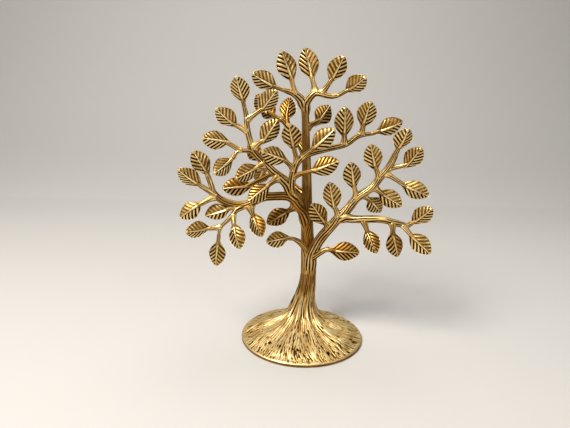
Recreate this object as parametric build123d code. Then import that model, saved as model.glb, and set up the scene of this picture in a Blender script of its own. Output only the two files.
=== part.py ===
"""Cast brass tree of life: a trunk on a domed root base, curved boughs and folded leaves.

Millimetres. +Z is up, +X is to the right and -Y is the front. The origin is the centre of the
base's underside. The castings are brazed together: each one seats on its carrier over a thin gap.
"""

import os
from math import cos, pi, radians, sin

from build123d import *

# Base casting
base_radius = 39.0
base_edge = 2.0
base_slope = 16.0
foot_width = 4.0
stump_x = 3.5
stump_y = 4.5
stump_height = 42.5
stump_radius = 4.8
wall = 2.6
hollow_rings = 8
spigot_radius = 2.2
spigot_length = 7.0

# Trunk casting
trunk_height = 106.0
trunk_foot_radius = 4.9
trunk_tip_radius = 2.1
trunk_taper = 1.5
trunk_sides = 12
trunk_rings = 9

# Boughs
bough_sides = 8
ring_spacing = 7.5

# Leaf pattern
leaf_length = 17.8
leaf_width = 12.4
leaf_thickness = 1.1
leaf_fold = 0.24
leaf_arch = 1.4
leaf_lobes = 4
leaf_notch = 0.06
midrib_width = 1.5
midrib_height = 0.5
leaf_tip_width = 1.4
leaf_fullness = 1.14
leaf_roundness = 0.78
stalk_root_width = 2.0
stalk_neck_width = 1.4
blade_foot_width = 1.8
neck_share = 0.6

# Fits
braze_gap = 0.1
spigot_gap = 0.1

# The mound of the base, from the disc up to the stump: mean radius, height above the table, x and
# y of the centre, and how far the root ridges stand out of the mean surface.
mound = [
    (36.0, 2.0, 0.0, 0.0, 0.0),
    (33.0, 4.4, 0.0, 0.0, 0.3),
    (27.0, 6.5, 0.1, 0.6, 0.55),
    (21.0, 8.5, 0.3, 1.4, 0.75),
    (16.5, 10.3, 0.4, 2.2, 0.85),
    (13.0, 12.3, 0.5, 2.8, 0.85),
    (10.4, 15.0, 0.55, 3.3, 0.8),
    (8.5, 18.5, 0.6, 3.8, 0.65),
    (7.0, 23.0, 0.9, 4.2, 0.5),
    (5.7, 30.5, 2.3, 4.5, 0.3),
    (stump_radius, stump_height, stump_x, stump_y, 0.0),
]

# Headings of the root ridges round the mound, in degrees anticlockwise from +X.
root_headings = [6, 47, 88, 131, 172, 211, 249, 286, 321]

# Height of the surface, from -1 in a hollow to 1 on a ridge, at even steps from one root ridge to
# the next.
ridge_profile = [1.0, 0.1, -1.0, 0.1]

# The trunk's course above the stump: sideways drift, and share of the trunk's height.
trunk_course = [
    (0.0, 0.0),
    (-1.0, 0.17),
    (-2.5, 0.45),
    (-3.5, 0.68),
    (-4.5, 0.85),
    (-6.0, 1.0),
]

# Each bough: the pieces it seats on, of which the first carries it, the share of the carrier's
# course where it springs, its radius at the root and at the tip, and its course as offsets from
# the point where it springs.
boughs = {
    "top_left_fork": (["trunk"], 1.0, 2.0, 1.2, [
        (-2.5, -1, 2.5), (-5.5, -2, 5), (-9, -2, 6.5), (-13, -3, 7.5)]),
    "top_right_fork": (["trunk", "top_left_fork"], 0.97, 1.9, 1.2, [
        (2.5, -1, 6), (6, -2, 9), (10, -3, 8.5), (16, -4, 7.5), (20, -5, 8.5)]),
    "left_bough": (["trunk"], 0.34, 3.0, 2.0, [
        (-5.5, -5, 8), (-10.5, -7, 14), (-19.5, -10, 15.5), (-27.5, -13, 15), (-33.5, -15, 12.5),
        (-40.5, -16, 11), (-47.5, -17, 12.5), (-53, -18, 15.5), (-56, -18, 19.5)]),
    "drop_twig": (["left_bough"], 0.73, 1.5, 1.1, [
        (-4, -2, -5), (-8, -3, -9.5), (-11.5, -3, -13.5), (-12.5, -3, -18.5)]),
    "upper_left_bough": (["left_bough", "trunk"], 0.27, 2.7, 1.3, [
        (-3, -2, 8.5), (-9, -3, 14.5), (-15.5, -5, 21), (-22, -6, 28), (-24.5, -7, 34.5),
        (-26, -8, 42), (-26.5, -9, 48), (-27.5, -10, 53.5)]),
    "side_twig": (["upper_left_bough"], 0.58, 1.4, 1.1, [
        (-5.5, -1, 1), (-10, -2, 0), (-11.5, -3, -3)]),
    "cross_bough": (["upper_left_bough", "left_bough"], 0.05, 2.0, 1.1, [
        (1, -3, 10), (2.5, -5, 17.5), (7, -6, 23), (12.5, -6, 25.5), (19.5, -4, 27.2),
        (27, -2, 28.8), (33.5, 0, 30.8), (38, 1, 34.2), (43.5, 2, 36), (48, 2, 36.5)]),
    "right_bough": (["trunk"], 0.06, 2.6, 1.3, [
        (2.5, -5, 10), (7, -7, 19), (13, -9, 27.5), (18.5, -10, 34.5), (23.5, -10, 40),
        (26.5, -10, 44.5), (32, -11, 49), (37, -11, 53.5), (40.5, -12, 59), (44, -13, 64),
        (46.5, -14, 70), (47.5, -15, 73.5)]),
    "right_low_bough": (["right_bough"], 0.44, 1.8, 1.2, [
        (7.5, -2, -1), (15, -4, -0.5), (23.5, -6, 0), (32, -8, -1.5), (39, -9, -3)]),
    "rear_bough": (["trunk"], 0.7, 2.0, 1.2, [
        (-4, 5, 7), (-10, 10, 15), (-14.5, 12, 20.5), (-19, 13, 23)]),
    "rear_left_bough": (["trunk"], 0.46, 2.0, 1.2, [
        (-7, 6, 5), (-15, 11, 11), (-22, 13, 15), (-28, 13, 20)]),
    "low_left_sprig": (["trunk"], 0.12, 1.5, 1.1, [
        (-3.5, -5, 6.5), (-6.5, -6, 9.5), (-10.5, -6, 11.5)]),
    "low_right_sprig": (["right_bough", "trunk"], 0.02, 1.5, 1.1, [
        (4, -6, 6), (7.5, -7.5, 9), (11, -8, 11)]),
}

# Leaves of each bough, from its root to its tip. Each leaf: the share of the bough's course where
# its stalk springs, the stalk's length, how far the stalk comes forward, the stalk's heading and
# the blade's heading in degrees anticlockwise from +X, the blade's lean towards the front, its
# roll about its own midrib, and its size against the full leaf.
leaves = {
    "trunk": [(0.86, 7.5, -4, 20, 54, -38, 0, 1.0)],
    "top_left_fork": [(0.47, 7.5, 2, 104, 112, 4, 10, 1.02), (1.0, 3.5, 0, 164, 152, 26, -15, 0.97)],
    "top_right_fork": [
        (0.42, 8, -1, 101, 106, 0, -8, 1.04), (0.56, 8.5, 1, 53, 65, 28, 12, 0.96),
        (1.0, 4, 0, 31, 39, 46, 10, 0.93)],
    "left_bough": [
        (0.19, 6, -4, -131, -148, 6, 0, 0.96), (0.65, 6, 0, -76, -64, 30, 10, 0.89),
        (0.76, 4.5, 0, -150, -162, 0, -8, 0.89), (0.94, 10, 1, -157, -145, 0, 10, 0.88),
        (0.95, 10.5, 3, 142, 139, 24, -10, 0.93), (1.0, 9.5, -3, 108, 118, 20, 8, 0.95)],
    "drop_twig": [
        (0.3, 5, 2, -83, -73, 28, 12, 0.89), (0.75, 7, 0, -176, -181, 46, -8, 0.91),
        (1.0, 3, 0, -97, -96, 2, 6, 0.89)],
    "upper_left_bough": [
        (0.24, 6.5, 6, -152, -144, 26, 8, 0.91), (0.43, 4.5, 2, -165, -153, 34, -10, 0.9),
        (0.62, 6, 2, 31, 56, 12, 10, 0.96), (0.78, 7, 1, 155, 137, 32, -12, 0.92),
        (0.88, 8.5, -1, 34, 51, 22, 14, 0.94), (1.0, 2.5, 0, 96, 104, 34, -6, 0.92)],
    "side_twig": [(0.55, 8.5, -1, 147, 169, 30, 10, 0.93), (0.95, 2, 1, -132, -141, 46, -8, 0.88)],
    "cross_bough": [
        (0.15, 11.5, 6, 24, 24, 10, -6, 0.98), (0.22, 7.5, 5, 124, 158, 28, 10, 0.95),
        (0.29, 8, 3, 103, 103, 32, -8, 1.0), (0.35, 7.5, 4, 44, 44, 8, 6, 0.98),
        (0.73, 4.5, 1, 97, 92, 14, 8, 1.01), (0.9, 4.5, 0, 86, 81, 32, -8, 0.99),
        (1.0, 2, 0, 24, 23, 0, 12, 0.94)],
    "right_bough": [
        (0.33, 3.5, 2, 133, 125, 12, 8, 0.95), (0.43, 6, 2, 122, 103, 4, -10, 0.97),
        (0.6, 6.5, 2, 109, 101, 14, 8, 0.95), (0.64, 6, -4, -29, -47, -30, 0, 0.94),
        (0.73, 5, -3, -39, -31, 8, 6, 0.96), (0.8, 5.5, 1, 119, 108, 18, -8, 0.95),
        (0.84, 13, -1, -29, -21, 16, 8, 0.96), (0.88, 10, 0, 7, 63, 36, -10, 0.93),
        (1.0, 1.5, 0, 72, 77, 40, 6, 0.92)],
    "right_low_bough": [
        (0.34, 6.5, 1, -70, -66, 36, 8, 0.88), (0.77, 5.5, 1, -92, -74, 6, -10, 0.9),
        (0.92, 6, 2, -50, -42, 18, 8, 0.95), (1.0, 3, 0, 42, 53, 34, -8, 0.92)],
    "rear_bough": [
        (0.7, 4, -1, 113, 81, -26, 0, 0.92), (0.88, 5, -2, 165, 137, -46, 0, 0.93),
        (1.0, 7, 0, 155, 122, -40, 0, 0.93)],
    "rear_left_bough": [
        (0.7, 17, 8, -156, -175, 12, 0, 1.04), (0.9, 4, 0, -135, -111, -46, 0, 0.93),
        (1.0, 2.5, 0, 150, 134, -42, 0, 0.93)],
    "low_left_sprig": [(1.0, 2, 0, 159, 184, 30, 8, 0.89)],
    "low_right_sprig": [(1.0, 1.5, 0, -44, -1, 8, -8, 1.04)],
}

# The small leaves of these boughs share one node for each bough.
grouped = ["drop_twig", "side_twig", "rear_bough", "rear_left_bough"]


def polygon(plane, radius, sides):
    """The corners of a regular polygon in a plane, the first on the plane's x axis."""
    corners = []
    for k in range(sides):
        angle = 2 * pi * k / sides
        corners.append(plane.from_local_coords(Vector(radius * cos(angle), radius * sin(angle), 0)))
    return corners


def ring_solid(rings):
    """A closed solid of triangles between matching corners of neighbouring rings."""
    faces = [Face(Wire.make_polygon(rings[0])), Face(Wire.make_polygon(rings[-1]))]
    for lower, upper in zip(rings, rings[1:]):
        for k in range(len(lower)):
            faces.append(Face(Wire.make_polygon([lower[k - 1], lower[k], upper[k]])))
            faces.append(Face(Wire.make_polygon([lower[k - 1], upper[k], upper[k - 1]])))
    return Solid(Shell(faces))


def tube(course, root_radius, tip_radius, sides, stations, taper=1.0, grow=0.0):
    """A tapered branch along a course. grow enlarges it all round and past both its ends."""
    rings = []
    for k in range(stations + 1):
        share = k / stations
        spot = course @ share
        along = course % share
        if k == 0:
            spot = spot - along * grow
        if k == stations:
            spot = spot + along * grow
        radius = tip_radius + (root_radius - tip_radius) * (1 - share) ** taper + grow
        rings.append(polygon(Plane(origin=spot, x_dir=(0, 1, 0), z_dir=along), radius, sides))
    return ring_solid(rings)


def largest(shape):
    """The largest solid of a cut piece: the stub left inside its carrier is dropped."""
    return max(shape.solids(), key=lambda solid: solid.volume)


def trunk_line():
    """The trunk's centre line, upright where it stands on the stump."""
    points = [
        Vector(stump_x + drift, stump_y, stump_height + braze_gap + share * trunk_height)
        for drift, share in trunk_course
    ]
    return Spline(*points, tangents=[(0, 0, 1), (-0.2, 0, 1)])


def bough_line(carrier_line, share, offsets):
    """A bough's centre line, from the carrier's centre line out along its offsets."""
    start = carrier_line @ share
    points = [start]
    for offset in offsets:
        points.append(start + Vector(*offset))
    return Spline(*points)


def mound_slope(number):
    """The direction straight out of the mound's surface at a ring: X is its rise, Z its reach."""
    below = mound[max(number - 1, 0)]
    above = mound[min(number + 1, len(mound) - 1)]
    return Vector(below[0] - above[0], 0, above[1] - below[1]).normalized()


def root_ring(radius, height, centre_x, centre_y, ridge, slope):
    """The corners of a ring round the roots, moved in and out of the slope by their ridges."""
    corners = []
    for heading, following in zip(root_headings, root_headings[1:] + [root_headings[0] + 360]):
        for step, rise in enumerate(ridge_profile):
            angle = radians(heading + (following - heading) * step / len(ridge_profile))
            reach = radius + ridge * rise * slope.Z
            x = centre_x + reach * cos(angle)
            y = centre_y + reach * sin(angle)
            corners.append(Vector(x, y, height + ridge * rise * slope.X))
    return corners


def make_hollow(foot_radius):
    """The space under the base, open below and a wall's thickness inside the mound."""
    upright = Vector(0, 0, 1)
    rings = [root_ring(foot_radius, 0, 0, 0, 0, upright)]
    for number in range(1, hollow_rings + 1):
        radius, height, centre_x, centre_y, _ = mound[number]
        slope = mound_slope(number)
        rings.append(root_ring(
            radius - wall * slope.Z, height - wall * slope.X, centre_x, centre_y, 0, upright))
    return ring_solid(rings)


def make_base():
    """The disc, the mound of roots that rises to the stump, and the spigot for the trunk."""
    mound_foot = mound[0][0] - (mound[0][0] - mound[1][0]) / 2
    disc_top = base_edge + (base_radius - mound_foot) * sin(radians(base_slope))
    outline = [(0, 0), (base_radius, 0), (base_radius, base_edge), (mound_foot, disc_top), (0, disc_top)]
    disc = revolve(Plane.XZ * make_face(Polyline(*outline, close=True)), Axis.Z)
    roots = ring_solid([root_ring(*row, mound_slope(number)) for number, row in enumerate(mound)])
    spigot = Pos(stump_x, stump_y, stump_height) * Cylinder(
        spigot_radius, spigot_length, align=(Align.CENTER, Align.CENTER, Align.MIN))
    return largest(disc + roots + spigot - make_hollow(base_radius - foot_width))


def make_trunk(line):
    """The trunk, with the socket that seats on the stump's spigot."""
    body = tube(line, trunk_foot_radius, trunk_tip_radius, trunk_sides, trunk_rings, trunk_taper)
    socket = Pos(stump_x, stump_y, stump_height) * Cylinder(
        spigot_radius + spigot_gap, spigot_length + spigot_gap,
        align=(Align.CENTER, Align.CENTER, Align.MIN))
    return largest(body - socket)


def heading_vector(heading, lean):
    """A unit vector at a heading in the front view, tipped towards the front by the lean."""
    flat = cos(radians(lean))
    return Vector(cos(radians(heading)) * flat, -sin(radians(lean)), sin(radians(heading)) * flat)


def leaf_section(centre, side, face, half_width):
    """A folded cross-section of a leaf: raised midrib, two sloping halves, flat margins."""
    rib = min(midrib_width / 2, half_width / 2)
    top = leaf_thickness / 2
    outline = [
        (0, top + midrib_height * rib / (midrib_width / 2)),
        (rib, top - leaf_fold * rib),
        (half_width, top - leaf_fold * half_width),
        (half_width, -top - leaf_fold * half_width),
        (0, -top),
        (-half_width, -top - leaf_fold * half_width),
        (-half_width, top - leaf_fold * half_width),
        (-rib, top - leaf_fold * rib),
    ]
    return [centre + side * across + face * out for across, out in outline]


def faceted_solid(sections):
    """A closed solid of flat faces between matching corners of neighbouring sections."""
    faces = [Face(Wire.make_polygon(sections[0])), Face(Wire.make_polygon(sections[-1]))]
    for lower, upper in zip(sections, sections[1:]):
        for k in range(len(lower)):
            corners = [lower[k - 1], lower[k], upper[k], upper[k - 1]]
            faces.append(Face(Wire.make_polygon(corners)))
    return Solid(Shell(faces))


def blade_half_width(station, size):
    """The blade's half width at a station: an ovate outline, scalloped into lobes."""
    share = station / (2 * leaf_lobes)
    outline = max(sin(pi * share ** leaf_fullness), 0) ** leaf_roundness
    scallop = 1 - leaf_notch if station % 2 == 0 else 1
    return size * max(leaf_width / 2 * outline * scallop, leaf_tip_width / 2)


def make_leaf(root, stalk_length, forward, stalk_heading, blade_heading, lean, roll, size):
    """A leaf with its stalk, which starts at the middle of the bough."""
    reach = heading_vector(stalk_heading, 0) * stalk_length + Vector(0, -forward, 0)
    blade = heading_vector(blade_heading, lean)
    upright = Vector(-sin(radians(blade_heading)), 0, cos(radians(blade_heading)))
    side = upright.rotate(Axis((0, 0, 0), blade), roll)
    face = blade.cross(side)
    if face.Y > 0:
        side = -side
        face = -face
    foot = root + reach
    sections = [
        leaf_section(root, side, face, stalk_root_width / 2),
        leaf_section(root + reach * neck_share, side, face, stalk_neck_width / 2),
        leaf_section(foot, side, face, blade_foot_width / 2),
    ]
    for station in range(1, 2 * leaf_lobes + 1):
        share = station / (2 * leaf_lobes)
        centre = foot + blade * leaf_length * size * share + face * leaf_arch * sin(pi * share)
        sections.append(leaf_section(centre, side, face, blade_half_width(station, size)))
    return faceted_solid(sections)


def write(name, shape):
    """Write one node's STEP file."""
    export_step(shape, os.path.join("parts", name + ".step"))


def main():
    """Build every casting, seat it on its carrier and write it."""
    os.makedirs("parts", exist_ok=True)
    stem = trunk_line()
    lines = {"trunk": stem}
    cutters = {"trunk": tube(
        stem, trunk_foot_radius, trunk_tip_radius, trunk_sides, trunk_rings, trunk_taper, braze_gap)}
    write("base", make_base())
    write("trunk", make_trunk(stem))
    for name, (seats, share, root_radius, tip_radius, offsets) in boughs.items():
        line = bough_line(lines[seats[0]], share, offsets)
        rings = max(3, round(line.length / ring_spacing))
        body = tube(line, root_radius, tip_radius, bough_sides, rings)
        for seat in seats:
            body = largest(body - cutters[seat])
        lines[name] = line
        cutters[name] = tube(line, root_radius, tip_radius, bough_sides, rings, grow=braze_gap)
        write(name, body)
    for bough, rows in leaves.items():
        made = []
        for share, *leaf in rows:
            made.append(largest(make_leaf(lines[bough] @ share, *leaf) - cutters[bough]))
        if bough in grouped:
            write(bough + "_leaves", Compound(made))
        else:
            for number, leaf in enumerate(made, start=1):
                write(f"{bough}_leaf_{number}", leaf)


main()
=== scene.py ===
from math import cos, pi, radians, sin

import bpy
import numpy as np
from mathutils import Matrix, Vector


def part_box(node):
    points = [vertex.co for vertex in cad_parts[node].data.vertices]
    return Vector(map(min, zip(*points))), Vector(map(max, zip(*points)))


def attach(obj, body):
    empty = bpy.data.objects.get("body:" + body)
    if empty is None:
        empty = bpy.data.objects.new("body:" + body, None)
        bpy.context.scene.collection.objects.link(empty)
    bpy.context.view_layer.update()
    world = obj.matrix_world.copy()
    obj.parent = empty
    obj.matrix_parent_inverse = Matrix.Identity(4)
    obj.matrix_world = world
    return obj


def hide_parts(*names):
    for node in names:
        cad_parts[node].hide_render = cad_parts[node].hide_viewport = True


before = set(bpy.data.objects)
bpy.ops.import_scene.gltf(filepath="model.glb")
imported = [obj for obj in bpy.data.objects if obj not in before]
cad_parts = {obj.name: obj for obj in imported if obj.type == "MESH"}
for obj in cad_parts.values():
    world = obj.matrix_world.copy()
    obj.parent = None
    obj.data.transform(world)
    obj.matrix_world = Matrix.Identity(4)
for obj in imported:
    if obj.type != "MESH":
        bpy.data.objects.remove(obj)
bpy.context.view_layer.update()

MM = 0.001

# ------------------------------------------------------------
# The tree's own layout, in millimetres, as the part has it.

STUMP_X = 3.5
STUMP_Y = 4.5
STUMP_TOP = 42.5
STUMP_RADIUS = 4.8
TRUNK_HEIGHT = 106.0
TRUNK_FOOT = 4.9
TRUNK_TIP = 2.1
TRUNK_TAPER = 1.5

LEAF_LENGTH = 17.8
LEAF_WIDTH = 12.4
LEAF_THICKNESS = 1.1
LEAF_FOLD = 0.24
LEAF_ARCH = 1.4
LEAF_FULLNESS = 1.14
LEAF_TIP_WIDTH = 1.4

# The mound of the base: mean radius, height above the table, x and y of the centre, and how far
# the root ridges stand out of the mean surface.
MOUND = [
    (33.0, 4.4, 0.0, 0.0, 0.3), (27.0, 6.5, 0.1, 0.6, 0.55), (21.0, 8.5, 0.3, 1.4, 0.75),
    (16.5, 10.3, 0.4, 2.2, 0.85), (13.0, 12.3, 0.5, 2.8, 0.85), (10.4, 15.0, 0.55, 3.3, 0.8),
    (8.5, 18.5, 0.6, 3.8, 0.65), (7.0, 23.0, 0.9, 4.2, 0.5), (5.7, 30.5, 2.3, 4.5, 0.3),
    (STUMP_RADIUS, STUMP_TOP, STUMP_X, STUMP_Y, 0.0),
]

# The headings of the root ridges in degrees, the height of the rim, the wall over the hollow, and
# the width of the ring that the base stands on.
ROOT_HEADINGS = [6, 47, 88, 131, 172, 211, 249, 286, 321]
BASE_EDGE = 2.0
WALL = 2.6
FOOT_WIDTH = 4.0

# The trunk's centre line: sideways drift from the stump, and share of the trunk's height.
TRUNK_COURSE = [(0.0, 0.0), (-1.0, 0.17), (-2.5, 0.45), (-3.5, 0.68), (-4.5, 0.85), (-6.0, 1.0)]
TRUNK_FOOT_HEADING = (0, 0, 1)
TRUNK_TIP_HEADING = (-0.2, 0, 1)

# Bough: carrier, share of the carrier's course, radius at the root and at the tip, and the points
# of its course, measured from its root: to the right, to the back and up.
BOUGHS = {
    "top_left_fork": ("trunk", 1.0, 2.0, 1.2, [
        (-2.5, -1, 2.5), (-5.5, -2, 5), (-9, -2, 6.5), (-13, -3, 7.5)]),
    "top_right_fork": ("trunk", 0.97, 1.9, 1.2, [
        (2.5, -1, 6), (6, -2, 9), (10, -3, 8.5), (16, -4, 7.5), (20, -5, 8.5)]),
    "left_bough": ("trunk", 0.34, 3.0, 2.0, [
        (-5.5, -5, 8), (-10.5, -7, 14), (-19.5, -10, 15.5), (-27.5, -13, 15), (-33.5, -15, 12.5),
        (-40.5, -16, 11), (-47.5, -17, 12.5), (-53, -18, 15.5), (-56, -18, 19.5)]),
    "drop_twig": ("left_bough", 0.73, 1.5, 1.1, [
        (-4, -2, -5), (-8, -3, -9.5), (-11.5, -3, -13.5), (-12.5, -3, -18.5)]),
    "upper_left_bough": ("left_bough", 0.27, 2.7, 1.3, [
        (-3, -2, 8.5), (-9, -3, 14.5), (-15.5, -5, 21), (-22, -6, 28), (-24.5, -7, 34.5),
        (-26, -8, 42), (-26.5, -9, 48), (-27.5, -10, 53.5)]),
    "side_twig": ("upper_left_bough", 0.58, 1.4, 1.1, [
        (-5.5, -1, 1), (-10, -2, 0), (-11.5, -3, -3)]),
    "cross_bough": ("upper_left_bough", 0.05, 2.0, 1.1, [
        (1, -3, 10), (2.5, -5, 17.5), (7, -6, 23), (12.5, -6, 25.5), (19.5, -4, 27.2),
        (27, -2, 28.8), (33.5, 0, 30.8), (38, 1, 34.2), (43.5, 2, 36), (48, 2, 36.5)]),
    "right_bough": ("trunk", 0.06, 2.6, 1.3, [
        (2.5, -5, 10), (7, -7, 19), (13, -9, 27.5), (18.5, -10, 34.5), (23.5, -10, 40),
        (26.5, -10, 44.5), (32, -11, 49), (37, -11, 53.5), (40.5, -12, 59), (44, -13, 64),
        (46.5, -14, 70), (47.5, -15, 73.5)]),
    "right_low_bough": ("right_bough", 0.44, 1.8, 1.2, [
        (7.5, -2, -1), (15, -4, -0.5), (23.5, -6, 0), (32, -8, -1.5), (39, -9, -3)]),
    "rear_bough": ("trunk", 0.7, 2.0, 1.2, [
        (-4, 5, 7), (-10, 10, 15), (-14.5, 12, 20.5), (-19, 13, 23)]),
    "rear_left_bough": ("trunk", 0.46, 2.0, 1.2, [
        (-7, 6, 5), (-15, 11, 11), (-22, 13, 15), (-28, 13, 20)]),
    "low_left_sprig": ("trunk", 0.12, 1.5, 1.1, [
        (-3.5, -5, 6.5), (-6.5, -6, 9.5), (-10.5, -6, 11.5)]),
    "low_right_sprig": ("right_bough", 0.02, 1.5, 1.1, [
        (4, -6, 6), (7.5, -7.5, 9), (11, -8, 11)]),
}

# Leaf: share of the bough's course, stalk length, how far the stalk comes forward, heading of the
# stalk and of the blade, lean of the blade to the front and roll about the midrib, in degrees, and
# the size of the blade against the pattern.
LEAVES = {
    "trunk": [(0.86, 7.5, -4, 20, 54, -38, 0, 1.0)],
    "top_left_fork": [
        (0.47, 7.5, 2, 104, 112, 4, 10, 1.02), (1.0, 3.5, 0, 164, 152, 26, -15, 0.97)],
    "top_right_fork": [
        (0.42, 8, -1, 101, 106, 0, -8, 1.04), (0.56, 8.5, 1, 53, 65, 28, 12, 0.96),
        (1.0, 4, 0, 31, 39, 46, 10, 0.93)],
    "left_bough": [
        (0.19, 6, -4, -131, -148, 6, 0, 0.96), (0.65, 6, 0, -76, -64, 30, 10, 0.89),
        (0.76, 4.5, 0, -150, -162, 0, -8, 0.89), (0.94, 10, 1, -157, -145, 0, 10, 0.88),
        (0.95, 10.5, 3, 142, 139, 24, -10, 0.93), (1.0, 9.5, -3, 108, 118, 20, 8, 0.95)],
    "drop_twig": [
        (0.3, 5, 2, -83, -73, 28, 12, 0.89), (0.75, 7, 0, -176, -181, 46, -8, 0.91),
        (1.0, 3, 0, -97, -96, 2, 6, 0.89)],
    "upper_left_bough": [
        (0.24, 6.5, 6, -152, -144, 26, 8, 0.91), (0.43, 4.5, 2, -165, -153, 34, -10, 0.9),
        (0.62, 6, 2, 31, 56, 12, 10, 0.96), (0.78, 7, 1, 155, 137, 32, -12, 0.92),
        (0.88, 8.5, -1, 34, 51, 22, 14, 0.94), (1.0, 2.5, 0, 96, 104, 34, -6, 0.92)],
    "side_twig": [(0.55, 8.5, -1, 147, 169, 30, 10, 0.93), (0.95, 2, 1, -132, -141, 46, -8, 0.88)],
    "cross_bough": [
        (0.15, 11.5, 6, 24, 24, 10, -6, 0.98), (0.22, 7.5, 5, 124, 158, 28, 10, 0.95),
        (0.29, 8, 3, 103, 103, 32, -8, 1.0), (0.35, 7.5, 4, 44, 44, 8, 6, 0.98),
        (0.73, 4.5, 1, 97, 92, 14, 8, 1.01), (0.9, 4.5, 0, 86, 81, 32, -8, 0.99),
        (1.0, 2, 0, 24, 23, 0, 12, 0.94)],
    "right_bough": [
        (0.33, 3.5, 2, 133, 125, 12, 8, 0.95), (0.43, 6, 2, 122, 103, 4, -10, 0.97),
        (0.6, 6.5, 2, 109, 101, 14, 8, 0.95), (0.64, 6, -4, -29, -47, -30, 0, 0.94),
        (0.73, 5, -3, -39, -31, 8, 6, 0.96), (0.8, 5.5, 1, 119, 108, 18, -8, 0.95),
        (0.84, 13, -1, -29, -21, 16, 8, 0.96), (0.88, 10, 0, 7, 63, 36, -10, 0.93),
        (1.0, 1.5, 0, 72, 77, 40, 6, 0.92)],
    "right_low_bough": [
        (0.34, 6.5, 1, -70, -66, 36, 8, 0.88), (0.77, 5.5, 1, -92, -74, 6, -10, 0.9),
        (0.92, 6, 2, -50, -42, 18, 8, 0.95), (1.0, 3, 0, 42, 53, 34, -8, 0.92)],
    "rear_bough": [
        (0.7, 4, -1, 113, 81, -26, 0, 0.92), (0.88, 5, -2, 165, 137, -46, 0, 0.93),
        (1.0, 7, 0, 155, 122, -40, 0, 0.93)],
    "rear_left_bough": [
        (0.7, 17, 8, -156, -175, 12, 0, 1.04), (0.9, 4, 0, -135, -111, -46, 0, 0.93),
        (1.0, 2.5, 0, 150, 134, -42, 0, 0.93)],
    "low_left_sprig": [(1.0, 2, 0, 159, 184, 30, 8, 0.89)],
    "low_right_sprig": [(1.0, 1.5, 0, -44, -1, 8, -8, 1.04)],
}

# The leaves of each of these twigs are one piece.
GROUPED = ("drop_twig", "side_twig", "rear_bough", "rear_left_bough")

# ------------------------------------------------------------
# How the pieces differ in their looks. Tone runs from 0 on pale metal to 1 on metal that has aged
# to a deep gold; on some pieces it also carries painted shade.

USUAL_TONE = 0.60
# The left bough's high tone is partly painted shade, where it runs dark inside the crown.
BOUGH_TONE_AND_SHADE = {
    "right_bough": 0.48, "right_low_bough": 0.50, "upper_left_bough": 0.55, "left_bough": 1.10,
    "top_left_fork": 0.42, "top_right_fork": 0.42}
# The trunk's high tone is partly painted shade under the crown.
TRUNK_TONE_AND_SHADE = 0.88
JOINT_TONE_ON_TRUNK = 1.0
JOINT_TONE_ON_BOUGH = 0.30

# How black the grooves of the bark are.
TRUNK_LINES = 0.62
STALK_LINES = 0.7
USUAL_LINES = 0.75
BOUGH_LINES = {"left_bough": 0.55, "right_bough": 1.25, "right_low_bough": 1.2, "cross_bough": 1.0}

# The radius of a bough, with its bark, against the plain solid's.
USUAL_SWELL = 1.1
BOUGH_SWELL = {
    "right_bough": 1.32, "right_low_bough": 1.35, "left_bough": 0.92, "upper_left_bough": 0.97,
    "side_twig": 0.86, "drop_twig": 0.86, "low_right_sprig": 1.4, "low_left_sprig": 1.25}

# Tone varies by this much from leaf to leaf, and this share of the leaves is paler than usual.
LEAF_TONE_SPREAD = 0.36
PALER_SHARE = 0.45

# Painted shade: leaves in the shade of others, and the leaves of these boughs, get extra tone.
SHADE_TONE = 0.45
SHADED_BOUGHS = ("rear_bough", "rear_left_bough")
SHADED_LEAVES = (
    "left_bough_leaf_1", "left_bough_leaf_2", "right_bough_leaf_1", "right_bough_leaf_3",
    "right_low_bough_leaf_1", "right_low_bough_leaf_2", "upper_left_bough_leaf_1",
    "cross_bough_leaf_1", "low_right_sprig_leaf_1")

# ------------------------------------------------------------
# Noise and small helpers


def unit(v):
    """A vector, or each row of an array, at length 1."""
    return v / np.linalg.norm(v, axis=-1, keepdims=True)


def lattice(ix, iy, iz):
    """A fixed pseudo-random value from 0 to 1 for each point of the integer lattice."""
    n = (ix * 374761393 + iy * 668265263 + iz * 1440662683) & 0xFFFFFFFF
    n = ((n ^ (n >> 13)) * 1274126177) & 0xFFFFFFFF
    return (n ^ (n >> 16)) / 0xFFFFFFFF


def noise(x, y, z):
    """Smooth value noise from -1 to 1."""
    x, y, z = np.broadcast_arrays(x, y, z)
    cell = [np.floor(q).astype(np.int64) for q in (x, y, z)]
    f = [q - c for q, c in zip((x, y, z), cell)]
    s = [q * q * (3 - 2 * q) for q in f]
    total = 0.0
    for dx in (0, 1):
        for dy in (0, 1):
            for dz in (0, 1):
                weight = 1.0
                for share, step in zip(s, (dx, dy, dz)):
                    weight = weight * (share if step else 1 - share)
                total = total + weight * lattice(cell[0] + dx, cell[1] + dy, cell[2] + dz)
    return 2 * total - 1


def smooth(low, high, x):
    """0 before low, 1 past high and a smooth step between. It falls where low is over high."""
    t = np.clip((x - low) / (high - low), 0, 1)
    return t * t * (3 - 2 * t)


def distances(points):
    """How far each point of a course lies from its start, along the course."""
    return np.concatenate([[0], np.cumsum(np.linalg.norm(np.diff(points, axis=0), axis=1))])


def hermite(u):
    """The four cubic blends of two ends: the first end, its slope, the last end, its slope."""
    cube, square = u ** 3, u ** 2
    return 2 * cube - 3 * square + 1, cube - 2 * square + u, 3 * square - 2 * cube, cube - square


COURSE_STEPS = 40


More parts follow.
